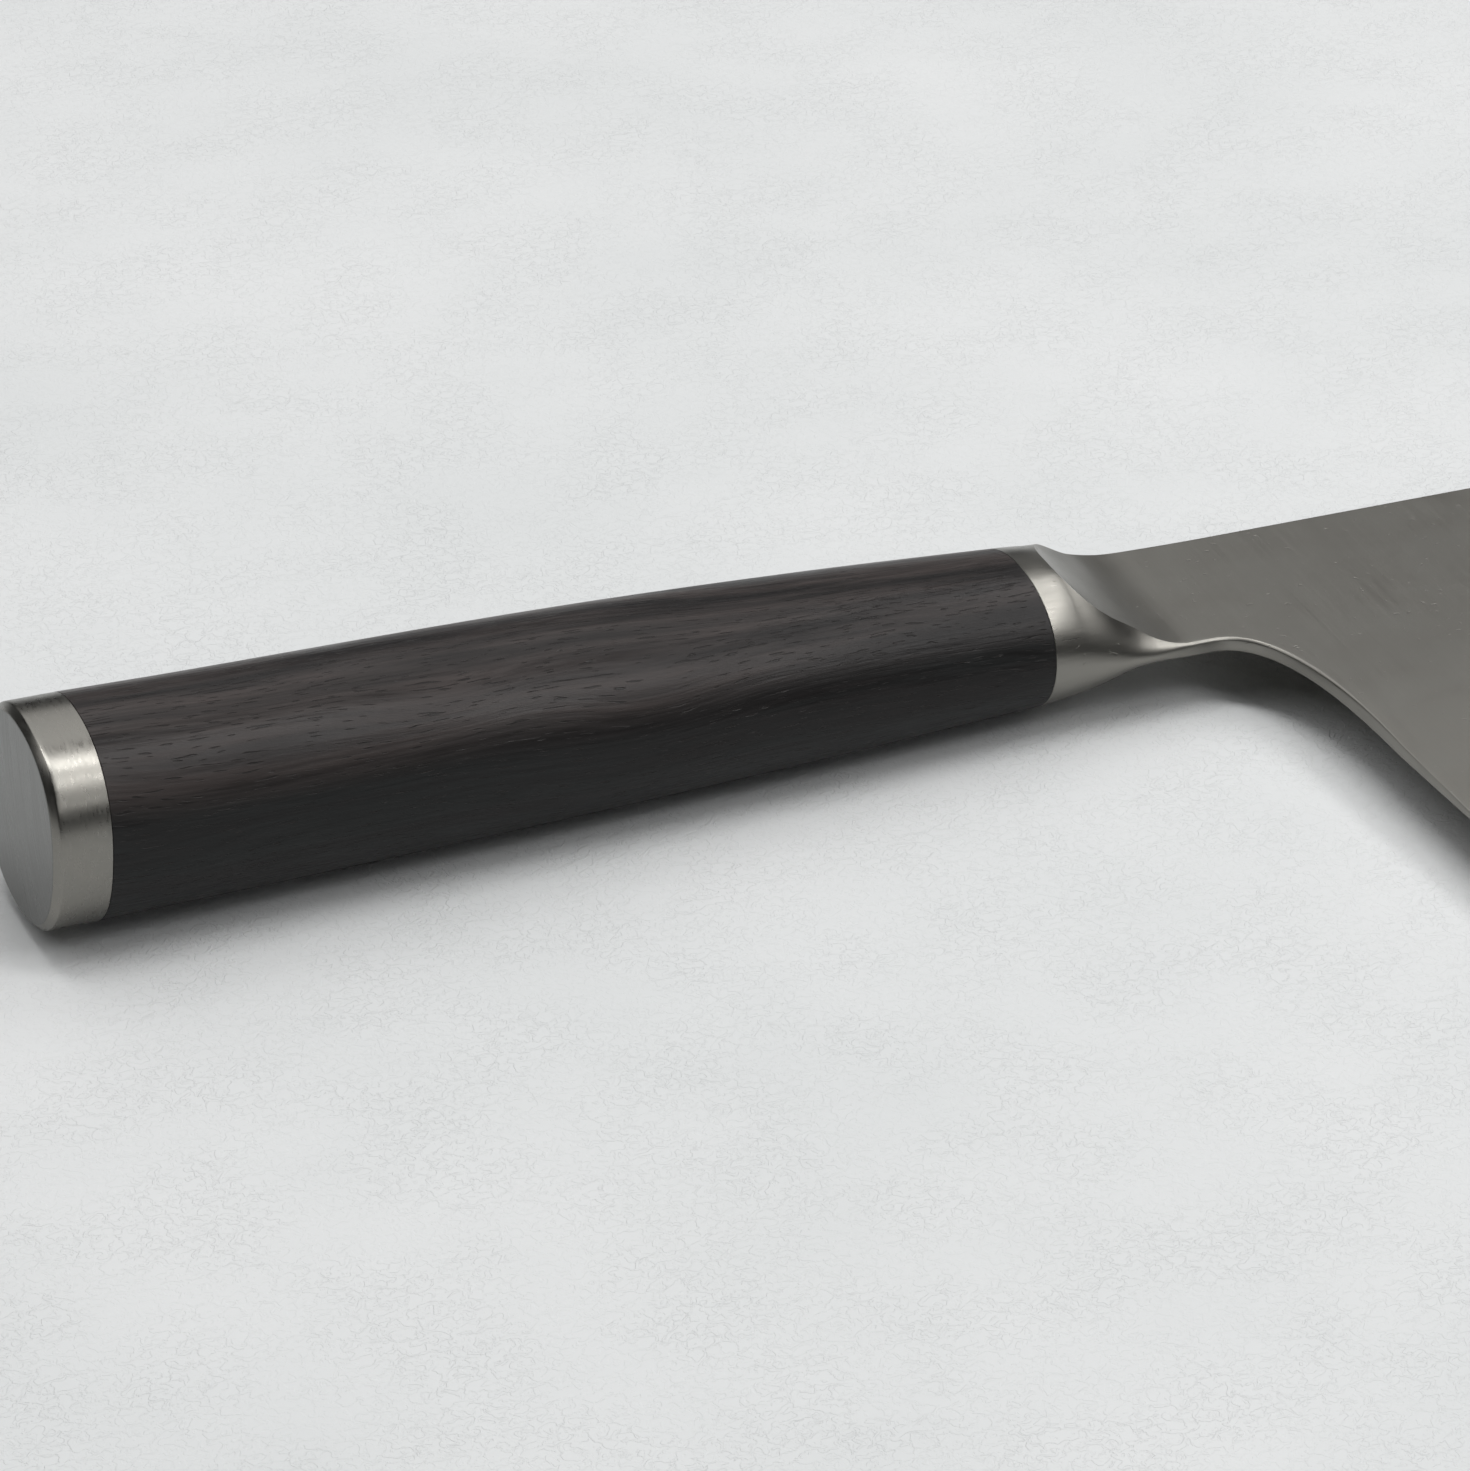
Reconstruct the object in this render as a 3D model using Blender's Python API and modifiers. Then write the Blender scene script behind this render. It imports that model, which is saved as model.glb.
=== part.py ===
"""Vegetable cleaver, lying on its side as it rests on a table.

The knife is laid out in its own axes, under one empty: x runs along the handle from the
end cap towards the blade's far end and is 0 where the end cap meets the grip, y points to
the spine, and z is square to the blade, with 0 at the blade's middle. The empty then lays
the knife down: it touches the table with the side of the grip and the far end of the blade.

Seven pieces, held together as such a knife is: the blade is butt welded to the bolster and
the seam is ground flush, the tang is welded into the back of the bolster, the bored grip
slides over the tang, a nut on the tang's threaded end pulls the grip against the bolster,
and the end cap closes the counterbore over the nut.
"""
import math

import bmesh
import bpy
from mathutils import Vector

MM = 0.001

# Clearance between two pieces that touch
GAP = 0.3 * MM

# How far a cutter reaches past the face that it goes through
OVERRUN = 1.0 * MM

# Two places closer than this are the same place
SAME_PLACE = 0.01 * MM

# Grip: its length, and half its width and thickness where it meets cap and bolster
GRIP_LENGTH = 112.0 * MM
REAR_HALF_WIDTH = 11.65 * MM
REAR_HALF_THICKNESS = 12.05 * MM
FRONT_HALF_WIDTH = 10.8 * MM
FRONT_HALF_THICKNESS = 8.3 * MM
REAR_SQUARENESS = 2.25
FRONT_SQUARENESS = 2.05

# The spine side draws in behind the cap, swells under the palm and falls off to the bolster
WAIST_HALF_WIDTH = 11.45 * MM
WAIST_FROM_CAP = 15.0 * MM
SWELL_HALF_WIDTH = 12.65 * MM
SWELL_FROM_CAP = 58.0 * MM
SHOULDER_HALF_WIDTH = 12.1 * MM
SHOULDER_FROM_BOLSTER = 24.0 * MM

# The belly side runs nearly straight, then draws in to the bolster
BELLY_HALF_WIDTH = 11.5 * MM
BELLY_FROM_BOLSTER = 33.0 * MM

# How far the faces of the grip crown over a straight taper, at the middle of its length
FACE_CROWN = 0.7 * MM

# End cap: a solid oval end with a chamfered butt and a tubular spigot that enters the grip
CAP_LENGTH = 6.4 * MM
CAP_CHAMFER = 0.75 * MM
SPIGOT_DIAMETER = 14.4 * MM
SPIGOT_WALL = 1.7 * MM
SPIGOT_LENGTH = 5.5 * MM
CAP_RECESS_DEPTH = 1.2 * MM

# Counterbore in the back of the grip, for the spigot and the nut
COUNTERBORE_DEPTH = 12.0 * MM

# Tang: a flat bar that ends in a threaded stud, with its nut and washer
TANG_WIDTH = 8.0 * MM
TANG_THICKNESS = 3.2 * MM
STUD_DIAMETER = 5.0 * MM
STUD_LENGTH = 16.0 * MM
STUD_BEYOND_NUT = 1.5 * MM
NUT_ACROSS_FLATS = 8.0 * MM
NUT_HEIGHT = 4.0 * MM
WASHER_DIAMETER = 12.5 * MM
WASHER_THICKNESS = 1.2 * MM

# Blade: its plate, where it rises a little to the bolster, and its arch and heel
BLADE_THICKNESS = 1.9 * MM
SPINE_HEIGHT = 9.25 * MM
SPINE_RISE = 0.25 * MM
SPINE_RISE_LENGTH = 11.0 * MM
ARCH_DEPTH = 11.0 * MM
HEEL_SETBACK = 10.2 * MM
HEEL_CURVE_HEIGHT = 26.0 * MM
HEEL_SQUARENESS = 2.5
HEEL_LEAN = 1.3 * MM
BLADE_HEIGHT = 76.0 * MM
BLADE_LENGTH = 170.0 * MM
EDGE_BELLY = 1.8 * MM
TIP_LEAN = 3.0 * MM
TIP_SPINE_RADIUS = 9.0 * MM
TIP_EDGE_RADIUS = 5.0 * MM
HEEL_CORNER_RADIUS = 1.0 * MM

# Bolster: its boss behind the oval face, and its length to the weld on the blade
BOSS_DIAMETER = 11.0 * MM
BOSS_LENGTH = 5.0 * MM
BOLSTER_LENGTH = 19.0 * MM

# The neck, at shares of the bolster's length: the share of the oval's thickness that is left,
# the half width on the spine side, and how square the section is on either side
NECK_TAPER = ((0.0, 1.0), (0.2, 0.96), (0.4, 0.86), (0.6, 0.5), (0.8, 0.25))
NECK_ROOT_SPARE = 0.3 * MM
NECK_SPINE = ((0.0, FRONT_HALF_WIDTH), (0.33, 10.75 * MM), (0.67, 9.95 * MM),
              (1.0, SPINE_HEIGHT + SPINE_RISE))
NECK_SPINE_SQUARENESS = ((0.0, FRONT_SQUARENESS), (0.33, FRONT_SQUARENESS), (0.67, 3.0), (1.0, 9.0))
NECK_BELLY_SQUARENESS = ((0.0, FRONT_SQUARENESS), (0.67, FRONT_SQUARENESS), (1.0, 4.7))

# The ground shoulder: a hollow of this length and depth that runs out into the flat of the
# blade. Its foot lies this far in front of the grip, and curves forward to either side
SHOULDER_LENGTH = 12.0 * MM
SHOULDER_DEPTH = 10.5 * MM
SHOULDER_FOOT = 15.1 * MM
SHOULDER_SWEEP_RADIUS = 14.5 * MM

# The grind: how far up the blade it reaches, and the thickness behind the edge
GRIND_HEIGHT = 38.5 * MM
MICRO_BEVEL_HEIGHT = 1.2 * MM
THICKNESS_BEHIND_EDGE = 0.3 * MM
GRIND_OVERRUN = 10.0 * MM
EDGE_THICKNESS = 0.08 * MM

# Eased edges: full round under the arch, fine along spine, heel and front
ARCH_EASING = 0.75 * MM
BLADE_EASING = 0.18 * MM

# How finely round shapes are cut into facets
OVAL_POINTS = 72
BORE_POINTS = 48

# Where pieces meet, along the handle
GRIP_FRONT = GRIP_LENGTH
BOLSTER_BACK = GRIP_FRONT + GAP
WELD = GRIP_FRONT + BOLSTER_LENGTH
BLADE_BACK = WELD + GAP
HEEL_X = BLADE_BACK + HEEL_SETBACK
EDGE_Y = SPINE_HEIGHT - BLADE_HEIGHT
TIP_X = HEEL_X + HEEL_LEAN + BLADE_LENGTH

# How steeply each face of the grind runs in to the edge
GRIND_SLOPE = (BLADE_THICKNESS - THICKNESS_BEHIND_EDGE) / 2 / (GRIND_HEIGHT - MICRO_BEVEL_HEIGHT)

STEEL = (0.30, 0.30, 0.29)
WOOD = (0.035, 0.027, 0.024)


def smooth(points, place):
    """Height at a place along a smooth curve through the given points."""
    slopes = []
    for i in range(len(points)):
        before = points[max(i - 1, 0)]
        after = points[min(i + 1, len(points) - 1)]
        slopes.append((after[1] - before[1]) / (after[0] - before[0]))
    place = min(max(place, points[0][0]), points[-1][0])
    i = 0
    while i < len(points) - 2 and place > points[i + 1][0]:
        i += 1
    (x0, y0), (x1, y1) = points[i], points[i + 1]
    run = x1 - x0
    t = (place - x0) / run
    bend = (2*t**3 - 3*t**2 + 1) * y0 + (3*t**2 - 2*t**3) * y1
    return bend + run * ((t**3 - 2*t**2 + t) * slopes[i] + (t**3 - t**2) * slopes[i + 1])


def ease(t):
    """0 to 1 with level ends."""
    t = min(max(t, 0.0), 1.0)
    return t * t * (3 - 2*t)


def spread(start, end, count):
    """Evenly spaced places from start to end, both counted."""
    return [start + (end - start) * i / (count - 1) for i in range(count)]


def oval(x, spine_side, belly_side, half_thickness, spine_power=2.0, belly_power=2.0):
    """Points round a section square to the handle, with its own curve on either side."""
    ring = []
    for i in range(OVAL_POINTS):
        turn = 2 * math.pi * i / OVAL_POINTS
        c, s = math.cos(turn), math.sin(turn)
        side, power = (spine_side, spine_power) if c > 0 else (-belly_side, belly_power)
        y = side * abs(c) ** (2 / power)
        z = math.copysign(half_thickness * abs(s) ** (2 / power), s)
        ring.append((x, y, z))
    return ring


def colour(obj, name, rgb, metallic, roughness):
    """Give a piece its own material."""
    material = bpy.data.materials.new(name)
    material.use_nodes = True
    shader = material.node_tree.nodes["Principled BSDF"]
    shader.inputs["Base Color"].default_value = (*rgb, 1.0)
    shader.inputs["Metallic"].default_value = metallic
    shader.inputs["Roughness"].default_value = roughness
    obj.data.materials.append(material)


def add_object(name, mesh, collection, knife):
    """A named object under the knife's empty."""
    obj = bpy.data.objects.new(name, mesh)
    collection.objects.link(obj)
    obj.parent = knife
    return obj


def finish(obj, angle=30.0):
    """Smooth shading with sharp edges kept."""
    obj.data.shade_smooth()
    obj.data.set_sharp_from_angle(angle=math.radians(angle))


def loft(name, rings, collection, knife):
    """A closed solid through rings that all have the same number of points."""
    count = len(rings[0])
    points = [point for ring in rings for point in ring]
    faces = [tuple(range(count)), tuple(range((len(rings) - 1) * count, len(rings) * count))]
    for k in range(len(rings) - 1):
        for i in range(count):
            j = (i + 1) % count
            faces.append((k*count + i, k*count + j, (k + 1)*count + j, (k + 1)*count + i))
    mesh = bpy.data.meshes.new(name)
    mesh.from_pydata(points, [], faces)
    work = bmesh.new()
    work.from_mesh(mesh)
    bmesh.ops.recalc_face_normals(work, faces=work.faces)
    work.to_mesh(mesh)
    work.free()
    return add_object(name, mesh, collection, knife)


def rod(name, diameter, start, end, collection, knife, sides=BORE_POINTS):
    """A round or many-sided bar along the handle's axis."""
    mesh = bpy.data.meshes.new(name)
    work = bmesh.new()
    bmesh.ops.create_cone(work, cap_ends=True, segments=sides, depth=end - start,
                          radius1=diameter / 2, radius2=diameter / 2)
    work.to_mesh(mesh)
    work.free()
    obj = add_object(name, mesh, collection, knife)
    obj.location = ((start + end) / 2, 0, 0)
    obj.rotation_euler = (0, math.pi / 2, 0)
    return obj


def shape(obj, tool, operation="DIFFERENCE"):
    """Cut a piece with a tool, or join the tool to it. The tool itself isn't part of the knife."""
    modifier = obj.modifiers.new(tool.name, "BOOLEAN")
    modifier.object = tool
    modifier.operation = operation
    modifier.solver = "EXACT"
    tool.hide_render = True
    tool.display_type = "WIRE"


def grip_section(x):
    """The handle's oval at a place between the cap and the bolster."""
    share = min(max(x / GRIP_LENGTH, 0.0), 1.0)
    spine = smooth([(0.0, REAR_HALF_WIDTH), (WAIST_FROM_CAP, WAIST_HALF_WIDTH),
                    (SWELL_FROM_CAP, SWELL_HALF_WIDTH),
                    (GRIP_LENGTH - SHOULDER_FROM_BOLSTER, SHOULDER_HALF_WIDTH),
                    (GRIP_LENGTH, FRONT_HALF_WIDTH)], x)
    belly = smooth([(0.0, REAR_HALF_WIDTH), (GRIP_LENGTH - BELLY_FROM_BOLSTER, BELLY_HALF_WIDTH),
                    (GRIP_LENGTH, FRONT_HALF_WIDTH)], x)
    taper = REAR_HALF_THICKNESS + share * (FRONT_HALF_THICKNESS - REAR_HALF_THICKNESS)
    half_thickness = taper + FACE_CROWN * 4 * share * (1 - share)
    power = REAR_SQUARENESS + share * (FRONT_SQUARENESS - REAR_SQUARENESS)
    return oval(x, spine, belly, half_thickness, power, power)


def inset(ring, amount):
    """The same section, smaller all round by about the amount."""
    smaller = []
    for x, y, z in ring:
        length = math.hypot(y, z)
        smaller.append((x, y * (1 - amount / length), z * (1 - amount / length)))
    return smaller


def make_grip(parts, tools, knife):
    """One block of wood, bored through for the tang and counterbored at both ends."""
    grip = loft("grip", [grip_section(x) for x in spread(0.0, GRIP_LENGTH, 29)], parts, knife)
    tang_bore = math.hypot(TANG_WIDTH, TANG_THICKNESS) + 2*GAP
    shape(grip, rod("tang_bore", tang_bore, -OVERRUN, GRIP_LENGTH + OVERRUN, tools, knife))
    shape(grip, rod("rear_counterbore", SPIGOT_DIAMETER + 2*GAP, -OVERRUN, COUNTERBORE_DEPTH,
                    tools, knife))
    shape(grip, rod("boss_socket", BOSS_DIAMETER + 2*GAP, GRIP_LENGTH - BOSS_LENGTH,
                    GRIP_LENGTH + OVERRUN, tools, knife))
    colour(grip, "dark_laminated_wood", WOOD, 0.0, 0.5)
    finish(grip)
    return grip


def make_end_cap(parts, tools, knife):
    """The oval steel end, with its chamfered butt and the spigot that enters the grip."""
    butt = -CAP_LENGTH
    section = grip_section(0.0)
    rings = [inset([(butt, y, z) for x, y, z in section], CAP_CHAMFER)]
    for x in spread(butt + CAP_CHAMFER, -GAP, 3):
        rings.append([(x, point[1], point[2]) for point in section])
    cap = loft("end_cap", rings, parts, knife)
    root = -CAP_LENGTH / 2
    shape(cap, rod("cap_spigot", SPIGOT_DIAMETER, root, SPIGOT_LENGTH, tools, knife), "UNION")
    hollow = SPIGOT_DIAMETER - 2*SPIGOT_WALL
    shape(cap, rod("cap_hollow", hollow, -GAP - CAP_RECESS_DEPTH, SPIGOT_LENGTH + OVERRUN,
                   tools, knife))
    colour(cap, "satin_cap_steel", STEEL, 1.0, 0.35)
    finish(cap)
    return cap


def make_tang(parts, tools, knife):
    """A flat bar behind the bolster's boss, with the round threaded stud at its back."""
    front = BOLSTER_BACK - BOSS_LENGTH - GAP
    stud_end = COUNTERBORE_DEPTH - 3*GAP - WASHER_THICKNESS - NUT_HEIGHT - STUD_BEYOND_NUT
    bar_back = stud_end + STUD_LENGTH
    mesh = bpy.data.meshes.new("tang")
    work = bmesh.new()
    bmesh.ops.create_cube(work, size=1.0)
    bmesh.ops.scale(work, vec=(front - bar_back, TANG_WIDTH, TANG_THICKNESS), verts=work.verts)
    bmesh.ops.translate(work, vec=((front + bar_back) / 2, 0, 0), verts=work.verts)
    work.to_mesh(mesh)
    work.free()
    tang = add_object("tang", mesh, parts, knife)
    stud = rod("tang_stud", STUD_DIAMETER, stud_end, bar_back + STUD_DIAMETER, tools, knife)
    shape(tang, stud, "UNION")
    colour(tang, "plain_tang_steel", STEEL, 1.0, 0.5)
    return tang


def make_washer(parts, tools, knife):
    """Spreads the nut's load on the floor of the counterbore."""
    front = COUNTERBORE_DEPTH - GAP
    back = front - WASHER_THICKNESS
    washer = rod("tang_washer", WASHER_DIAMETER, back, front, parts, knife)
    shape(washer, rod("washer_hole", STUD_DIAMETER + 2*GAP, back - OVERRUN, front + OVERRUN,
                      tools, knife))
    colour(washer, "washer_steel", STEEL, 1.0, 0.45)
    return washer


def make_nut(parts, tools, knife):
    """The six-sided nut that pulls the grip against the bolster."""
    front = COUNTERBORE_DEPTH - 2*GAP - WASHER_THICKNESS
    back = front - NUT_HEIGHT
    corners = NUT_ACROSS_FLATS / math.cos(math.pi / 6)
    nut = rod("tang_nut", corners, back, front, parts, knife, sides=6)
    shape(nut, rod("nut_hole", STUD_DIAMETER + 2*GAP, back - OVERRUN, front + OVERRUN,
                   tools, knife))
    colour(nut, "nut_steel", STEEL, 1.0, 0.4)
    return nut


def bolster_section(x):
    """The bolster's oval, before its faces are ground: it narrows to the root of the blade."""
    share = (x - GRIP_FRONT) / BOLSTER_LENGTH
    spine = smooth(NECK_SPINE, share)
    belly = FRONT_HALF_WIDTH + ease(share) * (ARCH_DEPTH - FRONT_HALF_WIDTH)
    taper = [(place, left * FRONT_HALF_THICKNESS) for place, left in NECK_TAPER]
    taper.append((1.0, BLADE_THICKNESS / 2 + NECK_ROOT_SPARE))
    return oval(x, spine, belly, smooth(taper, share), smooth(NECK_SPINE_SQUARENESS, share),
                smooth(NECK_BELLY_SQUARENESS, share))


def shoulder_foot(y):
    """Where the hollow of the shoulder runs out into the flat, at a height on the knife."""
    bow = SHOULDER_SWEEP_RADIUS - math.sqrt(SHOULDER_SWEEP_RADIUS**2 - y**2)
    return GRIP_FRONT + SHOULDER_FOOT + bow


def shoulder_tool(name, side, tools, knife):
    """What the grinding takes off one face: the flat of the blade and the hollow behind it."""
    flat = BLADE_THICKNESS / 2
    top = flat + SHOULDER_DEPTH
    clear = side * (top + OVERRUN)
    beyond = WELD + SHOULDER_LENGTH
    reach = FRONT_HALF_WIDTH + OVERRUN
    rings = []
    for y in spread(-reach, reach, 31):
        foot = shoulder_foot(y)
        ring = [(foot - SHOULDER_LENGTH, y, clear), (beyond, y, clear), (beyond, y, side * flat)]
        for turn in spread(0.0, math.pi / 2, OVAL_POINTS // 5):
            ring.append((foot - SHOULDER_LENGTH * math.sin(turn), y,
                         side * (top - SHOULDER_DEPTH * math.cos(turn))))
        rings.append(ring)
    return loft(name, rings, tools, knife)


def make_bolster(parts, tools, knife):
    """The oval bolster with its ground shoulders, its neck for the blade and its boss."""
    rings = [bolster_section(x) for x in spread(BOLSTER_BACK, WELD, 25)]
    bolster = loft("bolster", rings, parts, knife)
    for name, side in (("upper_shoulder", 1), ("lower_shoulder", -1)):
        shape(bolster, shoulder_tool(name, side, tools, knife))
    boss = rod("bolster_boss", BOSS_DIAMETER, BOLSTER_BACK - BOSS_LENGTH, BOLSTER_BACK + OVERRUN,
               tools, knife)
    shape(bolster, boss, "UNION")
    colour(bolster, "satin_bolster_steel", STEEL, 1.0, 0.35)
    finish(bolster)
    return bolster


def round_corner(corner, before, after, radius, count):
    """Points of an arc that rounds a corner between two straight sides."""
    corner, before, after = Vector(corner), Vector(before), Vector(after)
    one, two = (before - corner).normalized(), (after - corner).normalized()
    half = one.angle(two) / 2
    centre = corner + (one + two).normalized() * radius / math.sin(half)
    start = corner + one * radius / math.tan(half) - centre
    turn = start.angle_signed(corner + two * radius / math.tan(half) - centre)
    arc = []
    for share in spread(0.0, 1.0, count):
        angle = -turn * share
        arc.append(tuple(centre + Vector((start.x * math.cos(angle) - start.y * math.sin(angle),
                                          start.x * math.sin(angle) + start.y * math.cos(angle)))))
    return arc


def edge_height(x):
    """Height of the cutting edge: level ends and a slight belly between them."""
    share = (x - HEEL_X - HEEL_LEAN) / BLADE_LENGTH
    return EDGE_Y - EDGE_BELLY * 4 * share * (1 - share)


def blade_outline():
    """The blade from the side: arch, heel, cutting edge, front and spine, in that order."""
    points = []
    for turn in spread(0.0, math.pi / 2, 20):
        x = BLADE_BACK + HEEL_SETBACK * math.sin(turn) ** (2 / HEEL_SQUARENESS)
        y = -ARCH_DEPTH - HEEL_CURVE_HEIGHT * (1 - math.cos(turn) ** (2 / HEEL_SQUARENESS))
        points.append((x, y))
    heel_start = points[-1]
    heel = (HEEL_X + HEEL_LEAN, EDGE_Y)
    edge = [(x, edge_height(x)) for x in spread(HEEL_X + HEEL_LEAN, TIP_X, 13)]
    tip = edge[-1]
    top = (TIP_X - TIP_LEAN, SPINE_HEIGHT)
    points += round_corner(heel, heel_start, edge[1], HEEL_CORNER_RADIUS, 4)
    points += edge[1:-1]
    points += round_corner(tip, edge[-2], top, TIP_EDGE_RADIUS, 6)
    points += round_corner(top, tip, (BLADE_BACK, SPINE_HEIGHT), TIP_SPINE_RADIUS, 8)
    for x in spread(BLADE_BACK + SPINE_RISE_LENGTH, BLADE_BACK, 7):
        share = (x - BLADE_BACK) / SPINE_RISE_LENGTH
        points.append((x, SPINE_HEIGHT + SPINE_RISE * (1 - share) ** 2))
    return points


def plate(name, outline, thickness, collection, knife):
    """A flat plate with the given outline, as a mesh with one face on either side."""
    curve = bpy.data.curves.new(name + "_outline", "CURVE")
    curve.dimensions = "2D"
    curve.fill_mode = "BOTH"
    curve.extrude = thickness / 2
    spline = curve.splines.new("POLY")
    spline.points.add(len(outline) - 1)
    for point, (x, y) in zip(spline.points, outline):
        point.co = (x, y, 0, 1)
    spline.use_cyclic_u = True
    drawn = add_object(name + "_outline", curve, collection, knife)
    bpy.context.view_layer.update()
    evaluated = drawn.evaluated_get(bpy.context.evaluated_depsgraph_get())
    mesh = bpy.data.meshes.new_from_object(evaluated)
    work = bmesh.new()
    work.from_mesh(mesh)
    bmesh.ops.remove_doubles(work, verts=work.verts, dist=SAME_PLACE)
    bmesh.ops.dissolve_limit(work, angle_limit=math.radians(0.05), verts=work.verts,
                             edges=work.edges)
    bmesh.ops.recalc_face_normals(work, faces=work.faces)
    work.to_mesh(mesh)
    work.free()
    obj = add_object(name, mesh, collection, knife)
    bpy.data.objects.remove(drawn)
    return obj


def ease_rim(blade):
    """Round the plate's long edges: fully under the arch, finely along heel, front and spine."""
    weights = blade.data.attributes.new("bevel_weight_edge", "FLOAT", "EDGE")
    fade = HEEL_CURVE_HEIGHT
    for edge in blade.data.edges:
        start, end = (blade.data.vertices[v].co for v in edge.vertices)
        middle = (start + end) / 2
        along_rim = abs(start.z - end.z) < SAME_PLACE
        at_weld = abs(middle.x - BLADE_BACK) < SAME_PLACE
        on_edge = middle.y < EDGE_Y + HEEL_CORNER_RADIUS
        if not along_rim or at_weld or on_edge:
            continue
        on_heel = middle.y < SAME_PLACE - ARCH_DEPTH and middle.x < HEEL_X + HEEL_LEAN
        fullness = 1 - ease((-ARCH_DEPTH - middle.y) / fade) if on_heel else 0.0
        easing = BLADE_EASING + (ARCH_EASING - BLADE_EASING) * fullness
        weights.data[edge.index].value = easing / ARCH_EASING
    bevel = blade.modifiers.new("eased_edges", "BEVEL")
    bevel.limit_method = "WEIGHT"
    bevel.width = ARCH_EASING
    bevel.segments = 3


def grind_tool(name, side, tools, knife):
    """What the grinding takes off one face, down to the cutting edge."""
    behind = THICKNESS_BEHIND_EDGE / 2
    clear = BLADE_THICKNESS / 2 + GRIND_SLOPE * GRIND_OVERRUN
    rings = []
    for x in spread(BLADE_BACK, TIP_X + OVERRUN, 17):
        edge = edge_height(x)
        top, bottom = edge + GRIND_HEIGHT + GRIND_OVERRUN, edge - GRIND_OVERRUN
        profile = [(top, clear), (edge + MICRO_BEVEL_HEIGHT, behind), (edge, EDGE_THICKNESS / 2),
                   (bottom, EDGE_THICKNESS / 2), (bottom, 2 * clear), (top, 2 * clear)]
        rings.append([(x, y, side * z) for y, z in profile])
    return loft(name, rings, tools, knife)


def make_blade(parts, tools, knife):
    """The plate of the blade, eased round its rim and ground thin towards the edge."""
    blade = plate("blade", blade_outline(), BLADE_THICKNESS, parts, knife)
    ease_rim(blade)
    for name, side in (("upper_grind", 1), ("lower_grind", -1)):
        shape(blade, grind_tool(name, side, tools, knife))
    colour(blade, "satin_blade_steel", STEEL, 1.0, 0.4)
    finish(blade)
    return blade


def corners_of(parts):
    """Every corner of every piece, where it now stands."""
    bpy.context.view_layer.update()
    depsgraph = bpy.context.evaluated_depsgraph_get()
    corners = []
    for obj in parts.objects:
        evaluated = obj.evaluated_get(depsgraph)
        corners += [evaluated.matrix_world @ vertex.co for vertex in evaluated.data.vertices]
    return corners


def tilt_to_touch(corners):
    """How far to tip the knife until its handle and its far end are equally low."""
    handle = [corner for corner in corners if corner.x < WELD]
    blade = [corner for corner in corners if corner.x >= WELD]
    low, high = 0.0, math.radians(10.0)
    for _ in range(40):
        tilt = (low + high) / 2
        c, s = math.cos(tilt), math.sin(tilt)
        if min(p.z * c - p.x * s for p in blade) > min(p.z * c - p.x * s for p in handle):
            low = tilt
        else:
            high = tilt
    return tilt


def lay_on_table(knife, parts):
    """Lay the knife on its lower grind and on the grip's side, and centre it over the origin."""
    knife.rotation_euler.x = math.atan(GRIND_SLOPE)
    knife.rotation_euler.y = tilt_to_touch(corners_of(parts))
    corners = corners_of(parts)
    low = [min(corner[i] for corner in corners) for i in range(3)]
    high = [max(corner[i] for corner in corners) for i in range(3)]
    knife.location = (-(low[0] + high[0]) / 2, -(low[1] + high[1]) / 2, -low[2])
    bpy.context.view_layer.update()


def main():
    for obj in list(bpy.data.objects):
        bpy.data.objects.remove(obj)
    parts = bpy.data.collections.new("vegetable_cleaver")
    tools = bpy.data.collections.new("cutters")
    bpy.context.scene.collection.children.link(parts)
    bpy.context.scene.collection.children.link(tools)
    knife = bpy.data.objects.new("knife_axes", None)
    tools.objects.link(knife)
    make_end_cap(parts, tools, knife)
    make_grip(parts, tools, knife)
    make_washer(parts, tools, knife)
    make_nut(parts, tools, knife)
    make_tang(parts, tools, knife)
    make_bolster(parts, tools, knife)
    make_blade(parts, tools, knife)
    lay_on_table(knife, parts)


main()
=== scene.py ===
import math

import bmesh
import bpy
from mathutils import Euler, Matrix, Vector


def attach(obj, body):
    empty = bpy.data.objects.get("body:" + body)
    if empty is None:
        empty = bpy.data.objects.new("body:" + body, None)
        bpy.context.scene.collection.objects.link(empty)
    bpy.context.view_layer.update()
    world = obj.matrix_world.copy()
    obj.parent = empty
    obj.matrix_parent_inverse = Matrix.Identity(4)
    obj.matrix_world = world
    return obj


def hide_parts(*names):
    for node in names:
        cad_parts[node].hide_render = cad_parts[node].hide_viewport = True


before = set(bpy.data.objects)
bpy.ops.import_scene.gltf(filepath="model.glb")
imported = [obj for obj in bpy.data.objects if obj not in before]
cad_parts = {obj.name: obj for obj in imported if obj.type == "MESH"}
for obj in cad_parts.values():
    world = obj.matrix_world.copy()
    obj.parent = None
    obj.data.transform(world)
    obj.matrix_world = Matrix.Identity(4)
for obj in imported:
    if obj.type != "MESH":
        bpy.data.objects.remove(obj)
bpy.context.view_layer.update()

# Shapes are worked out in millimetres in the knife's own axes: x runs along the handle from the
# joint between end cap and grip, y points to the spine, z is square to the blade.
MM = 0.001

# How the knife lies on the floor, as in the model: place in metres, roll and tip in radians
REST_PLACE, REST_TURN = (-0.152775332, 0.027937619, 0.012907803), (0.021444434, 0.036326218, 0.0)
AT_REST = Matrix.Translation(REST_PLACE) @ Euler(REST_TURN).to_matrix().to_4x4()

# Joints where wood and steel meet: their width, and how far the corners at them are broken
HAIRLINE = 0.02
BROKEN_CORNER = 0.05

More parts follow.
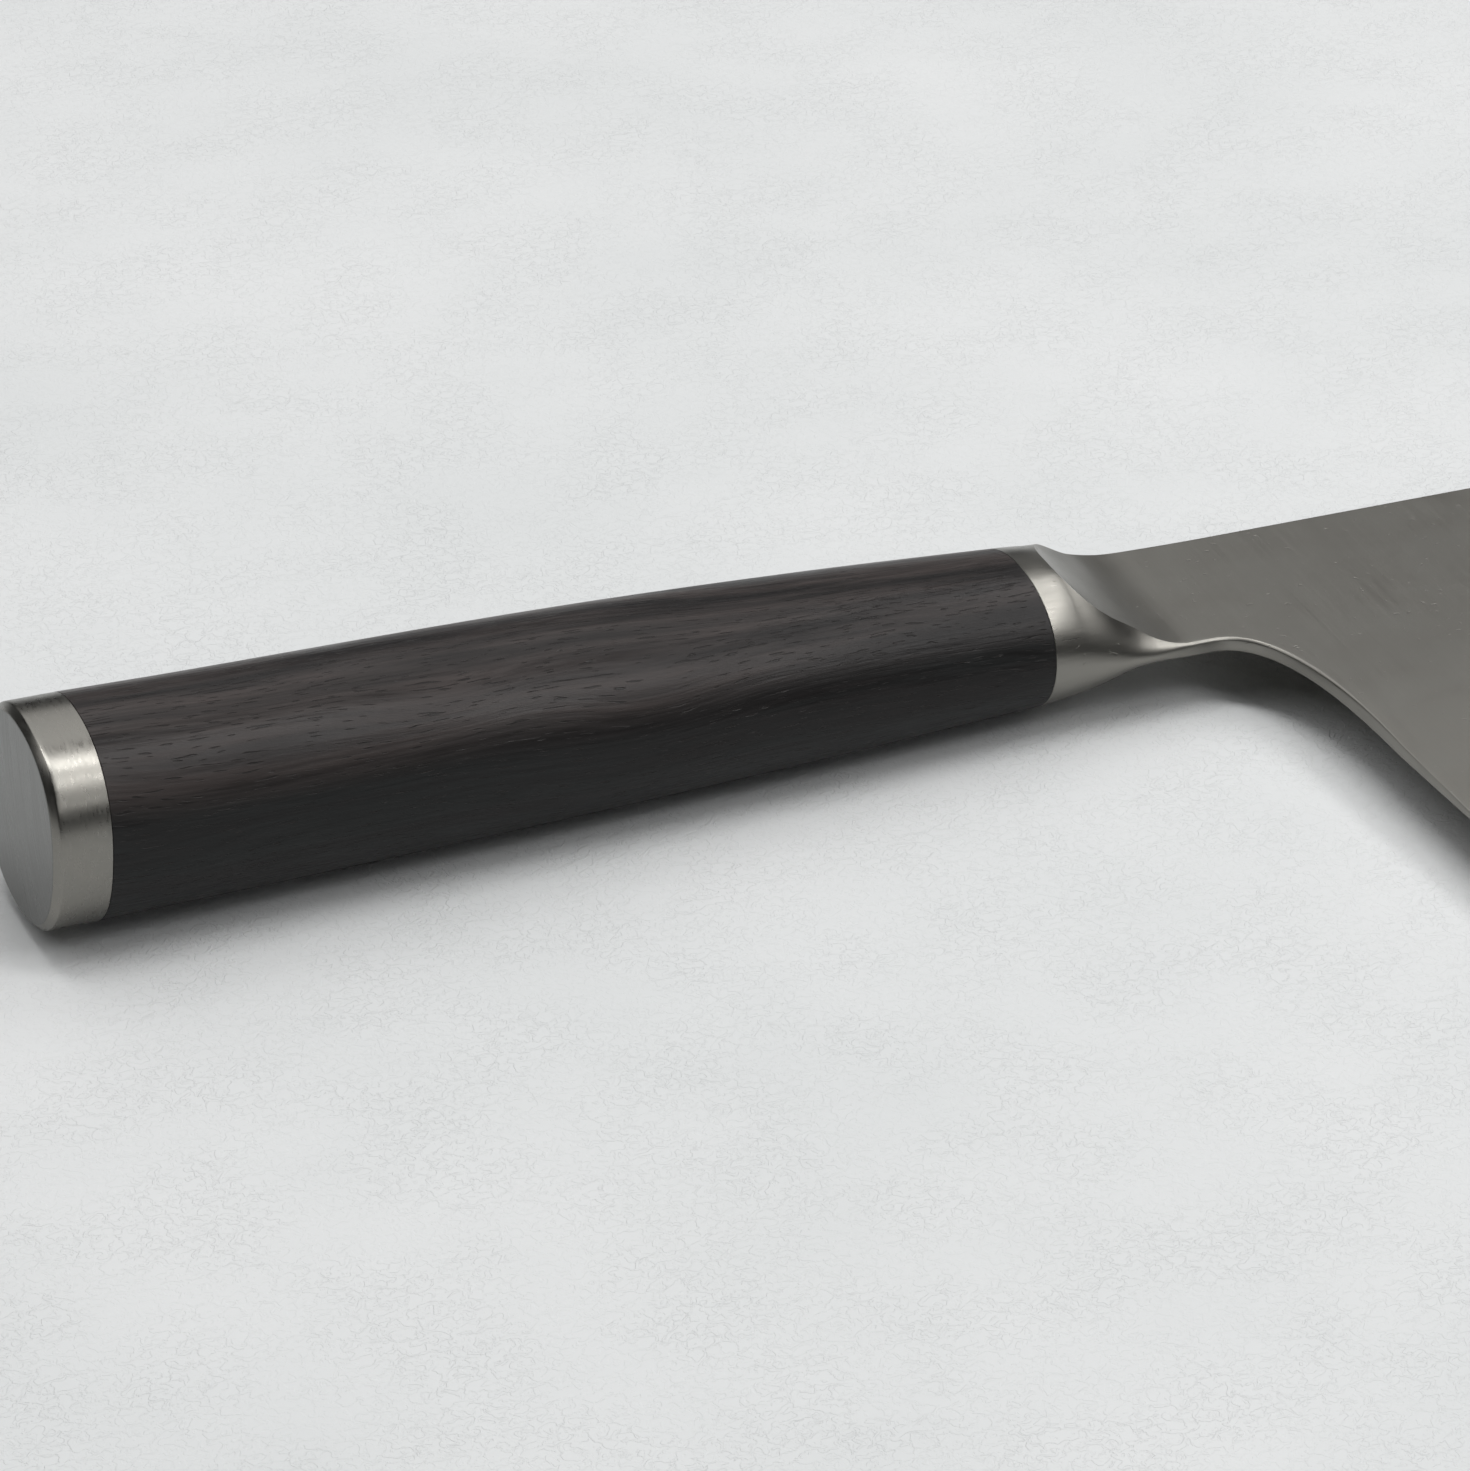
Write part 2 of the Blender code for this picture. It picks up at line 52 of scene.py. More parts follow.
# Grip
GRIP_LENGTH = 112.0
REAR_HALF_WIDTH, REAR_HALF_THICKNESS, REAR_SQUARENESS = 11.65, 12.05, 2.25
FRONT_HALF_WIDTH, FRONT_HALF_THICKNESS, FRONT_SQUARENESS = 10.8, 8.3, 2.05
SPINE_LINE = ((0.0, REAR_HALF_WIDTH), (15.0, 11.45), (58.0, 12.65), (88.0, 12.1),
              (GRIP_LENGTH, FRONT_HALF_WIDTH))
BELLY_LINE = ((0.0, REAR_HALF_WIDTH), (79.0, 11.5), (GRIP_LENGTH, FRONT_HALF_WIDTH))
FACE_CROWN = 0.7
COUNTERBORE_RADIUS, COUNTERBORE_DEPTH = 7.5, 12.0
TANG_BORE_RADIUS = 4.61
SOCKET_RADIUS, SOCKET_DEPTH = 5.8, 5.0

# End cap. Its chamfer runs from the butt forwards: distance from the butt, and how far in from
# the side.
CAP_LENGTH = 6.4
CAP_PROFILE = ((0.0, 1.1), (0.0, 0.84), (0.02, 0.77), (0.07, 0.70), (0.64, 0.11), (0.70, 0.06),
               (0.77, 0.02), (0.86, 0.0))
CAP_SIDE_START = 1.3
SPIGOT_RADIUS, SPIGOT_BORE_RADIUS, SPIGOT_LENGTH = 7.2, 5.5, 5.5
CAP_RECESS = 1.5

# Bolster, and the thickness that it shares with the blade. The shapes of the neck go by its
# length from 0 at the grip to 1 at the weld, and the hollow by x.
HALF_THICKNESS = 0.95
BOSS_RADIUS = 5.5
BOSS_BACK = 107.3
WELD = 131.0
BOLSTER_LENGTH = WELD - GRIP_LENGTH
NECK_TAPER = ((0.0, FRONT_HALF_THICKNESS), (0.2, 7.968), (0.4, 7.138), (0.6, 4.15), (0.8, 2.075),
              (1.0, 1.25))
NECK_SPINE = ((0.0, FRONT_HALF_WIDTH), (0.33, 10.75), (0.67, 9.95), (1.0, 9.5))
NECK_SPINE_SQUARENESS = ((0.0, FRONT_SQUARENESS), (0.33, 2.05), (0.67, 3.0), (1.0, 9.0))
NECK_BELLY_SQUARENESS = ((0.0, FRONT_SQUARENESS), (0.67, 2.05), (1.0, 4.7))
HOLLOW = ((114.0, 9.8), (115.0, 8.6), (116.0, 7.55), (118.0, 5.82), (120.0, 4.47), (122.0, 3.29),
          (124.0, 2.17), (125.0, 1.7), (126.0, 1.364), (127.0, 1.15), (128.0, 1.03),
          (129.0, 0.968), (130.0, HALF_THICKNESS), (132.0, HALF_THICKNESS))
NECK_BLEND_START = 126.5

# Blade
BLADE_BACK = 131.3
SPINE_Y = 9.25
SPINE_RISE, SPINE_RISE_LENGTH = 0.25, 11.0
ARCH_Y = -11.0
HEEL_SETBACK, HEEL_CURVE_HEIGHT, HEEL_SQUARENESS, HEEL_LEAN = 10.2, 26.0, 2.5, 1.3
BLADE_HEIGHT, BLADE_LENGTH = 76.0, 170.0
EDGE_Y = SPINE_Y - BLADE_HEIGHT
HEEL_X = BLADE_BACK + HEEL_SETBACK
TIP_X = HEEL_X + HEEL_LEAN + BLADE_LENGTH
TIP_LEAN, TIP_SPINE_RADIUS, TIP_EDGE_RADIUS = 3.0, 9.0, 5.0
HEEL_CORNER_RADIUS = 1.0
EDGE_BELLY = 1.8
GRIND_HEIGHT, GRIND_BLEND = 38.5, 14.0
MICRO_BEVEL, BEHIND_EDGE, EDGE_HALF = 1.2, 0.15, 0.04
GRIND_SLOPE = (HALF_THICKNESS - BEHIND_EDGE) / (GRIND_HEIGHT - MICRO_BEVEL)

# Round of the blade's rim: its size under the arch, elsewhere, at the top of the fine bevel and
# at the edge itself. Above the bevel it grows to its full size over EASING_GROWTH, it takes at
# most a share of the half thickness, and a narrow strip of the face lies next to it.
ARCH_EASING, RIM_EASING, BEVEL_EASING, KEEN_EASING = 0.7, 0.18, 0.1, 0.02
EASING_GROWTH = 4.0
EASING_LIMIT = 0.9
RIM_MARGIN = 0.3

# Steps of the round from the wall to the face, by their relative length. The long one halfway
# is a strip that catches the light.
RIM_STEPS = (3.0, 1.0, 0.5, 0.5, 2.2, 0.5, 0.3, 0.2)

# How finely the handle and the bolster are drawn. A curve is first drawn with many points, and
# then again with fewer that are evenly spaced. The rings after the ridge's start crowd towards it.
HANDLE_POINTS, GRIP_RINGS, CAP_RINGS = 160, 90, 4
OVAL_FIRST_POINTS, SPINE_SIDE_POINTS, BELLY_SIDE_POINTS, FACE_POINTS = 160, 26, 36, 44
RINGS_BEFORE_RIDGE, RINGS_AFTER_RIDGE, CROWDING = 12, 60, 0.6
HALVINGS = 50

# How finely the blade is drawn: points along its rim, then the rows and columns that its faces
# are cut into, the lower rows by their height above the edge and the upper ones by y
HEEL_FIRST_POINTS, HEEL_POINTS, HEEL_DROP_POINTS, HEEL_CORNER_POINTS = 300, 90, 14, 10
EDGE_POINTS, TIP_CORNER_POINTS, FRONT_POINTS, SPINE_CORNER_POINTS = 60, 14, 20, 20
SPINE_POINTS, RISE_POINTS = 50, 24
LOWER_ROWS = (MICRO_BEVEL, 4, 8, 14, 20, 26)
BLEND_ROWS, UPPER_ROWS, UPPER_FROM, UPPER_TO = 11, 5, -10.0, 6.0
COLUMNS, COLUMN_MARGIN = 46, 3

# Points nearer to each other than this are one
SAME_POINT = 0.002

# Corners sharper than this, in degrees, stay crisp
HANDLE_CORNER, RIDGE_CORNER, BLADE_CORNER = 32.0, 12.0, 30.0


def smooth(points, place):
    """Height at a place along a smooth curve through the given points."""
    slopes = []
    for i in range(len(points)):
        before = points[max(i - 1, 0)]
        after = points[min(i + 1, len(points) - 1)]
        slopes.append((after[1] - before[1]) / (after[0] - before[0]))
    place = min(max(place, points[0][0]), points[-1][0])
    i = 0
    while i < len(points) - 2 and place > points[i + 1][0]:
        i += 1
    (x0, y0), (x1, y1) = points[i], points[i + 1]
    run = x1 - x0
    t = (place - x0) / run
    bend = (2*t**3 - 3*t**2 + 1) * y0 + (3*t**2 - 2*t**3) * y1
    return bend + run * ((t**3 - 2*t**2 + t) * slopes[i] + (t**3 - t**2) * slopes[i + 1])


def ease(t):
    """0 to 1 with level ends."""
    t = min(max(t, 0.0), 1.0)
    return t * t * (3 - 2*t)


def mix(a, b, share):
    """The value that lies a share of the way from one to the other."""
    return a + (b - a) * share


def mixed_points(one, other, share):
    """Each point of one line drawn towards the same point of another."""
    return [(mix(p[0], q[0], share), mix(p[1], q[1], share)) for p, q in zip(one, other)]


def spread(start, end, count):
    """Evenly spaced places from start to end, both counted."""
    return [start + (end - start) * i / (count - 1) for i in range(count)]


def evenly(points, count):
    """The same line drawn again with evenly spaced points."""
    lengths = [0.0]
    for a, b in zip(points, points[1:]):
        lengths.append(lengths[-1] + math.dist(a, b))
    drawn, i = [], 0
    for reach in spread(0.0, lengths[-1], count):
        while i < len(points) - 2 and lengths[i + 1] < reach:
            i += 1
        step = lengths[i + 1] - lengths[i]
        share = (reach - lengths[i]) / step if step > 0 else 0.0
        drawn.append(tuple(mix(p, q, share) for p, q in zip(points[i], points[i + 1])))
    return drawn


def turning_place(inside, outside, holds):
    """Where something stops holding, found by halving. Gives the last place on either side."""
    for _ in range(HALVINGS):
        middle = (inside + outside) / 2
        if holds(middle):
            inside = middle
        else:
            outside = middle
    return inside, outside


def piece(name, points, faces, nodes, corner=HANDLE_CORNER):
    """A closed piece of the knife that stands for nodes of the model, given in the knife's axes."""
    mesh = bpy.data.meshes.new(name)
    mesh.from_pydata([Vector(p) * MM for p in points], [], faces)
    work = bmesh.new()
    work.from_mesh(mesh)
    bmesh.ops.remove_doubles(work, verts=work.verts, dist=SAME_POINT * MM)
    bmesh.ops.recalc_face_normals(work, faces=work.faces)
    work.to_mesh(mesh)
    work.free()
    return set_down(name, mesh, nodes, corner)


def set_down(name, mesh, nodes, corner):
    """Puts a mesh of the knife where the knife lies, with crisp corners kept crisp.

    Each point keeps its place on the knife, in millimetres, for the finishes.
    """
    mesh.shade_smooth()
    mesh.set_sharp_from_angle(angle=math.radians(corner))
    places = mesh.attributes.new("knife_mm", "FLOAT_VECTOR", "POINT")
    for vertex, place in zip(mesh.vertices, places.data):
        place.vector = vertex.co / MM
    mesh.transform(AT_REST)
    obj = bpy.data.objects.new(name, mesh)
    bpy.context.scene.collection.objects.link(obj)
    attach(obj, "root")
    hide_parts(*nodes)
    return obj


def joined(rings, ends=True):
    """Points and faces through rings that all have the same number of points."""
    count = len(rings[0])
    points = [point for ring in rings for point in ring]
    faces = []
    pairs = len(rings) - 1 if ends else len(rings)
    for k in range(pairs):
        after = (k + 1) % len(rings)
        for i in range(count):
            j = (i + 1) % count
            faces.append((k*count + i, k*count + j, after*count + j, after*count + i))
    if ends:
        faces.append(tuple(range(count)))
        faces.append(tuple(range((len(rings) - 1) * count, len(rings) * count)))
    return points, faces


def handle_section(x, inset=0.0):
    """The handle's oval at a place between the cap and the bolster."""
    share = min(max(x / GRIP_LENGTH, 0.0), 1.0)
    spine, belly = smooth(SPINE_LINE, x), smooth(BELLY_LINE, x)
    thickness = mix(REAR_HALF_THICKNESS, FRONT_HALF_THICKNESS, share)
    thickness += FACE_CROWN * 4 * share * (1 - share)
    power = 2 / mix(REAR_SQUARENESS, FRONT_SQUARENESS, share)
    ring = []
    for i in range(HANDLE_POINTS):
        turn = 2 * math.pi * i / HANDLE_POINTS
        c, s = math.cos(turn), math.sin(turn)
        y = math.copysign((spine if c > 0 else belly) * abs(c) ** power, c)
        z = math.copysign(thickness * abs(s) ** power, s)
        keep = 1 - inset / math.hypot(y, z)
        ring.append((x, y * keep, z * keep))
    return ring


def at(ring, x):
    """The same ring at another place along the handle."""
    return [(x, y, z) for _, y, z in ring]


def circle_within(ring, x, radius):
    """A round ring whose points lie behind those of the given one."""
    return [(x, y * radius / math.hypot(y, z), z * radius / math.hypot(y, z))
            for _, y, z in ring]


def make_grip():
    """The block of wood with its bores, its ends lightly broken where they meet the steel."""
    rear, front = handle_section(0.0), handle_section(GRIP_LENGTH)
    rings = [handle_section(0.0, BROKEN_CORNER)]
    for x in spread(BROKEN_CORNER, GRIP_LENGTH - BROKEN_CORNER, GRIP_RINGS):
        rings.append(handle_section(x))
    rings.append(handle_section(GRIP_LENGTH, BROKEN_CORNER))
    rings.append(circle_within(front, GRIP_LENGTH, SOCKET_RADIUS))
    rings.append(circle_within(front, GRIP_LENGTH - SOCKET_DEPTH, SOCKET_RADIUS))
    rings.append(circle_within(front, GRIP_LENGTH - SOCKET_DEPTH, TANG_BORE_RADIUS))
    rings.append(circle_within(rear, COUNTERBORE_DEPTH, TANG_BORE_RADIUS))
    rings.append(circle_within(rear, COUNTERBORE_DEPTH, COUNTERBORE_RADIUS))
    rings.append(circle_within(rear, 0.0, COUNTERBORE_RADIUS))
    points, faces = joined(rings, ends=False)
    return piece("wooden_grip", points, faces, ["grip"])


def make_end_cap():
    """The oval steel end: flat butt, chamfer with softened corners, and the tubular spigot."""
    butt = -CAP_LENGTH
    section = handle_section(0.0)
    rings = []
    for x, inset in CAP_PROFILE:
        rings.append(at(handle_section(0.0, inset), butt + x))
    for x in spread(butt + CAP_SIDE_START, -HAIRLINE - BROKEN_CORNER, CAP_RINGS):
        rings.append(at(section, x))
    rings.append(at(handle_section(0.0, BROKEN_CORNER), -HAIRLINE))
    rings.append(circle_within(section, -HAIRLINE, SPIGOT_RADIUS))
    rings.append(circle_within(section, SPIGOT_LENGTH, SPIGOT_RADIUS))
    rings.append(circle_within(section, SPIGOT_LENGTH, SPIGOT_BORE_RADIUS))
    rings.append(circle_within(section, -CAP_RECESS, SPIGOT_BORE_RADIUS))
    points, faces = joined(rings)
    return piece("steel_end_cap", points, faces, ["end_cap"])


def hollow_height(x):
    """Height of the ground face above the knife's middle: the flat and the hollow behind it."""
    return smooth(HOLLOW, x)


def neck_share(x):
    """How far along the bolster a place lies, from 0 at the grip to 1 at the weld."""
    return min((x - GRIP_LENGTH) / BOLSTER_LENGTH, 1.0)


def neck_belly(share):
    """How far the neck reaches to the belly side."""
    return FRONT_HALF_WIDTH + ease(share) * (-ARCH_Y - FRONT_HALF_WIDTH)


def neck_height(x, y):
    """Height of the bolster's oval above the knife's middle, before its faces are ground."""
    share = neck_share(x)
    if y > 0:
        side, power = smooth(NECK_SPINE, share), smooth(NECK_SPINE_SQUARENESS, share)
    else:
        side, power = neck_belly(share), smooth(NECK_BELLY_SQUARENESS, share)
    left = 1 - min(abs(y) / side, 1.0) ** power
    return smooth(NECK_TAPER, share) * left ** (1 / power)


def ground(x, y):
    """Whether the hollow has cut the bolster's oval at a place."""
    return neck_height(x, y) > hollow_height(x)


def ridge_start():
    """Where the ridge begins, in the middle of the face."""
    return turning_place(WELD, GRIP_LENGTH, lambda x: ground(x, 0.0))[0]


def ridge_place(x, side):
    """Where the ridge lies across the knife: there the oval and the ground face are level."""
    if not ground(x, 0.0):
        return 0.0
    return sum(turning_place(0.0, side, lambda y: ground(x, y))) / 2


def rim_round():
    """How far in and how far down each step of the rim's round lies, as shares of its size.

    It starts at the wall and ends crisply at the face.
    """
    ins, ups = [0.0], [0.0]
    for k, length in enumerate(RIM_STEPS):
        turn = math.pi / 2 * (k + 0.5) / len(RIM_STEPS)
        ins.append(ins[-1] + length * math.sin(turn))
        ups.append(ups[-1] + length * math.cos(turn))
    return [(i / ups[-1], 1 - u / ups[-1]) for i, u in zip(ins, ups)]


def oval_side(x, side, ridge, count):
    """The oval part of the neck's section, from its outermost point up to the ridge."""
    line = []
    for share in spread(0.0, 1.0, OVAL_FIRST_POINTS):
        y = side + (ridge - side) * share**3
        line.append((y, neck_height(x, y)))
    line[0] = (side, 0.0)
    return evenly(line, count)


def eased_side(side, easing, count):
    """The same part of the section where the neck has become the blade: a wall and a round."""
    towards = -1 if side > 0 else 1
    line = [(side, 0.0)]
    for inwards, down in rim_round():
        line.append((side + towards * easing * inwards, HALF_THICKNESS - easing * down))
    return evenly(line, count)


def neck_section(x):
    """One half of the bolster's section: spine side, ground face and belly side."""
    share = neck_share(x)
    spine, belly = smooth(NECK_SPINE, share), -neck_belly(share)
    above, below = ridge_place(x, spine), ridge_place(x, belly)
    upper = oval_side(x, spine, above, SPINE_SIDE_POINTS)
    lower = oval_side(x, belly, below, BELLY_SIDE_POINTS)
    blend = ease((x - NECK_BLEND_START) / (WELD - NECK_BLEND_START))
    if blend > 0:
        upper = mixed_points(upper, eased_side(spine, RIM_EASING, SPINE_SIDE_POINTS), blend)
        lower = mixed_points(lower, eased_side(belly, ARCH_EASING, BELLY_SIDE_POINTS), blend)
    face = []
    for y in spread(upper[-1][0], lower[-1][0], FACE_POINTS)[1:-1]:
        face.append((y, hollow_height(x) if above > below else neck_height(x, y)))
    return upper + face + lower[::-1]


def make_bolster():
    """The oval bolster with its ground shoulders, its neck, and the boss that enters the grip."""
    back_face = GRIP_LENGTH + HAIRLINE
    apex = ridge_start()
    places = spread(back_face + BROKEN_CORNER, apex, RINGS_BEFORE_RIDGE)
    for share in spread(0.0, 1.0, RINGS_AFTER_RIDGE)[1:]:
        places.append(apex + (BLADE_BACK - apex) * share**2 * (1 + CROWDING - CROWDING * share))
    rings = []
    for x in places:
        half = neck_section(x)
        ring = [(x, y, z) for y, z in half]
        ring += [(x, y, -z) for y, z in half[-2:0:-1]]
        rings.append(ring)
    back = []
    for x, y, z in rings[0]:
        keep = 1 - BROKEN_CORNER / math.hypot(y, z)
        back.append((back_face, y * keep, z * keep))
    rings.insert(0, back)
    rings.insert(0, circle_within(back, back_face, BOSS_RADIUS))
    rings.insert(0, circle_within(back, BOSS_BACK, BOSS_RADIUS))
    points, faces = joined(rings)
    return piece("steel_bolster", points, faces, ["bolster"], RIDGE_CORNER)


def half_thickness(height):
    """Half the blade's thickness at a height above the cutting edge: a gently convex grind."""
    if height < MICRO_BEVEL:
        return mix(EDGE_HALF, BEHIND_EDGE, max(height, 0.0) / MICRO_BEVEL)
    start, end = GRIND_HEIGHT - GRIND_BLEND / 2, GRIND_HEIGHT + GRIND_BLEND / 2
    if height < start:
        return BEHIND_EDGE + GRIND_SLOPE * (height - MICRO_BEVEL)
    if height < end:
        return HALF_THICKNESS - GRIND_SLOPE * (end - height) ** 2 / (2 * GRIND_BLEND)
    return HALF_THICKNESS


def bellied(x, y):
    """Brings the straight cutting edge to its slight belly, and the rows above it in proportion."""
    share = min(max((x - HEEL_X - HEEL_LEAN) / BLADE_LENGTH, 0.0), 1.0)
    drop = EDGE_BELLY * 4 * share * (1 - share)
    return y - drop * (SPINE_Y - y) / (SPINE_Y - EDGE_Y)


def rounded(corner, before, after, radius, count):
    """Points of an arc that rounds a corner between two straight sides."""
    corner, before, after = Vector(corner), Vector(before), Vector(after)
    one, two = (before - corner).normalized(), (after - corner).normalized()
    half = one.angle(two) / 2
    centre = corner + (one + two).normalized() * radius / math.sin(half)
    start = corner + one * radius / math.tan(half) - centre
    turn = start.angle_signed(corner + two * radius / math.tan(half) - centre)
    arc = []
    for share in spread(0.0, 1.0, count):
        angle = -turn * share
        arc.append((centre.x + start.x * math.cos(angle) - start.y * math.sin(angle),
                    centre.y + start.x * math.sin(angle) + start.y * math.cos(angle)))
    return arc


def between(a, b, count):
    """Points between two places, neither of them counted."""
    return [(mix(a[0], b[0], s), mix(a[1], b[1], s)) for s in spread(0.0, 1.0, count + 2)[1:-1]]


def blade_rim():
    """The blade's rim from under the neck round by heel, edge and front to the spine."""
    heel_line = []
    for turn in spread(0.0, math.pi / 2, HEEL_FIRST_POINTS):
        x = BLADE_BACK + HEEL_SETBACK * math.sin(turn) ** (2 / HEEL_SQUARENESS)
        y = ARCH_Y - HEEL_CURVE_HEIGHT * (1 - math.cos(turn) ** (2 / HEEL_SQUARENESS))
        heel_line.append((x, y))
    points = evenly(heel_line, HEEL_POINTS)
    heel, tip = (HEEL_X + HEEL_LEAN, EDGE_Y), (TIP_X, EDGE_Y)
    top, root = (TIP_X - TIP_LEAN, SPINE_Y), (BLADE_BACK + SPINE_RISE_LENGTH, SPINE_Y)
    heel_corner = rounded(heel, points[-1], tip, HEEL_CORNER_RADIUS, HEEL_CORNER_POINTS)
    tip_corner = rounded(tip, heel, top, TIP_EDGE_RADIUS, TIP_CORNER_POINTS)
    spine_corner = rounded(top, tip, root, TIP_SPINE_RADIUS, SPINE_CORNER_POINTS)
    for corner, count in ((heel_corner, HEEL_DROP_POINTS), (tip_corner, EDGE_POINTS),
                          (spine_corner, FRONT_POINTS)):
        points += between(points[-1], corner[0], count) + corner
    points += between(points[-1], root, SPINE_POINTS)
    for x in spread(root[0], BLADE_BACK, RISE_POINTS):
        share = (x - BLADE_BACK) / SPINE_RISE_LENGTH
        points.append((x, SPINE_Y + SPINE_RISE * (1 - share) ** 2))
    return points


def rim_easing(x, y):
    """How far the rim is rounded at a place: fully under the arch, finely elsewhere."""
    above_bevel = y - EDGE_Y - MICRO_BEVEL
    if above_bevel < 0:
        return mix(KEEN_EASING, BEVEL_EASING, max(y - EDGE_Y, 0.0) / MICRO_BEVEL)
    full = RIM_EASING
    if x < HEEL_X + HEEL_LEAN and y < 0.0:
        full = mix(ARCH_EASING, RIM_EASING, ease((ARCH_Y - y) / HEEL_CURVE_HEIGHT))
    return mix(BEVEL_EASING, full, min(above_bevel / EASING_GROWTH, 1.0))


def blade_side(work, rim, side):
    """One face of the blade, from the middle of its rim inwards. Gives the rim's points back."""
    inward = []
    for i in range(len(rim)):
        a, b = rim[max(i - 1, 0)], rim[min(i + 1, len(rim) - 1)]
        along = Vector((b[0] - a[0], b[1] - a[1])).normalized()
        inward.append(Vector((-along.y, along.x)))
    inward[0], inward[-1] = Vector((0, 1)), Vector((0, -1))
    steps = rim_round()
    steps.append(steps[-1])
    rings = []
    for inwards, down in steps:
        past_round = len(rings) == len(steps) - 1
        ring = []
        for (x, y), normal in zip(rim, inward):
            easing = rim_easing(x, y)
            inset = easing * inwards + (min(RIM_MARGIN, 2 * easing) if past_round else 0.0)
            px, py = x + normal.x * inset, y + normal.y * inset
            half = half_thickness(py - EDGE_Y)
            easing = min(easing, half * EASING_LIMIT)
            ring.append(work.verts.new((px, py, side * (half - easing * down))))
        rings.append(ring)
    for one, two in zip(rings, rings[1:]):
        for i in range(len(rim) - 1):
            work.faces.new((one[i], one[i + 1], two[i + 1], two[i]))
    cut_to_grind(work, work.faces.new(rings[-1]), side)
    return rings[0]


def cut_to_grind(work, inner, side):
    """Cuts a flat face of the blade into rows and columns and lays them on the grind."""
    middle = EDGE_Y + GRIND_HEIGHT
    rows = [EDGE_Y + height for height in LOWER_ROWS]
    rows += spread(middle - GRIND_BLEND / 2, middle + GRIND_BLEND / 2, BLEND_ROWS)
    rows += spread(UPPER_FROM, UPPER_TO, UPPER_ROWS)
    faces = [inner]
    for y in rows:
        faces = sliced(work, faces, (0, y, 0), (0, 1, 0))
    for x in spread(BLADE_BACK + COLUMN_MARGIN, TIP_X - COLUMN_MARGIN, COLUMNS):
        faces = sliced(work, faces, (x, 0, 0), (1, 0, 0))
    for vert in {v for face in faces for v in face.verts}:
        vert.co.z = side * half_thickness(vert.co.y - EDGE_Y)


def sliced(work, faces, place, normal):
    """The faces cut along a plane."""
    verts = {v for face in faces for v in face.verts}
    edges = {e for face in faces for e in face.edges}
    cut = bmesh.ops.bisect_plane(work, geom=list(verts) + list(edges) + list(faces), dist=1e-5,
                                 plane_co=place, plane_no=normal)
    return [item for item in cut["geom"] if isinstance(item, bmesh.types.BMFace)]


def make_blade():
    """The blade: eased rim, flat faces, convex grind and the fine bevel at the cutting edge."""
    work = bmesh.new()
    rim = blade_rim()
    upper, lower = blade_side(work, rim, 1), blade_side(work, rim, -1)
    for i in range(len(rim) - 1):
        work.faces.new((upper[i], upper[i + 1], lower[i + 1], lower[i]))
    open_edges = [edge for edge in work.edges if edge.is_boundary]
    bmesh.ops.holes_fill(work, edges=open_edges, sides=0)
    for vert in work.verts:
        vert.co.y = bellied(vert.co.x, vert.co.y)
    bmesh.ops.recalc_face_normals(work, faces=work.faces)
    bmesh.ops.scale(work, vec=(MM, MM, MM), verts=work.verts)
    mesh = bpy.data.meshes.new("steel_blade")
    work.to_mesh(mesh)
    work.free()
    return set_down("steel_blade", mesh, ["blade"], BLADE_CORNER)


# Marks of a finish have a size in mm: length along the handle, height towards the spine, depth.
# They lie between 0 and 1, but mostly keep to the middle, and so do two of them added together.
# A pair whose name ends in SHOW gives the part of the range over which a mark fades in.
USUAL, LINES_AND_BLOTCHES, PATCHES_AND_STREAKS = (0.3, 0.7), (0.6, 1.4), (0.7, 1.3)

# Satin steel. The belt and the hand leave lines 0.05 mm wide, too fine to show, so they are
# drawn 0.3 mm wide.
BELT_LINES, HAND_LINES = (0.3, 18.0, 0.3), (7.0, 0.35, 0.35)
BLOTCHES, HAND_WAVES, PITS = (11.0, 7.0, 7.0), (4.5, 3.2, 3.2), (0.8, 0.6, 0.6)
WAVE_DEPTH, PIT_DEPTH, LINE_DEPTH = 0.035 * MM, 0.02 * MM, 0.007 * MM
BELT_FROM, BELT_ALL = 114.0, 130.0
PITS_SHOW = (0.72, 0.78)
# The butt's grey is painted darker than the side's: painted shade
STEEL_WARM, STEEL_COOL, STEEL_BUTT_PAINTED_SHADE = "#8a8781", "#83827d", "#737371"
HAND_ROUGHNESS, BELT_ROUGHNESS, UNEVEN_ROUGHNESS = 0.3, 0.38, 0.05

# End cap's own marks. The scratches on the butt are arcs round a point beside it.
CAP_LINES, BUTT_LINES, CAP_BLOTCHES = (0.3, 1.1, 1.1), (0.25, 9.0, 9.0), (5.0, 4.0, 4.0)
SCRATCHES, SCRATCH_CENTRE = (0.22, 14.0, 14.0), (-CAP_LENGTH, -30.0, 16.0)
SCRATCHES_SHOW, BUTT_DEPTH = (0.66, 0.7), 0.03
CAP_LINE_DEPTH, SCRATCH_DEPTH, CAP_UNEVEN = 0.002 * MM, 0.01 * MM, 0.04

# Drawn steel of the hidden pieces
DRAWN_LINES, DRAWN_DEPTH = (9.0, 0.4, 0.4), 0.02 * MM
DRAWN_DARK, DRAWN_LIGHT = "#7d7a76", "#8f8c87"
DRAWN_SMOOTH, DRAWN_ROUGH = 0.42, 0.6

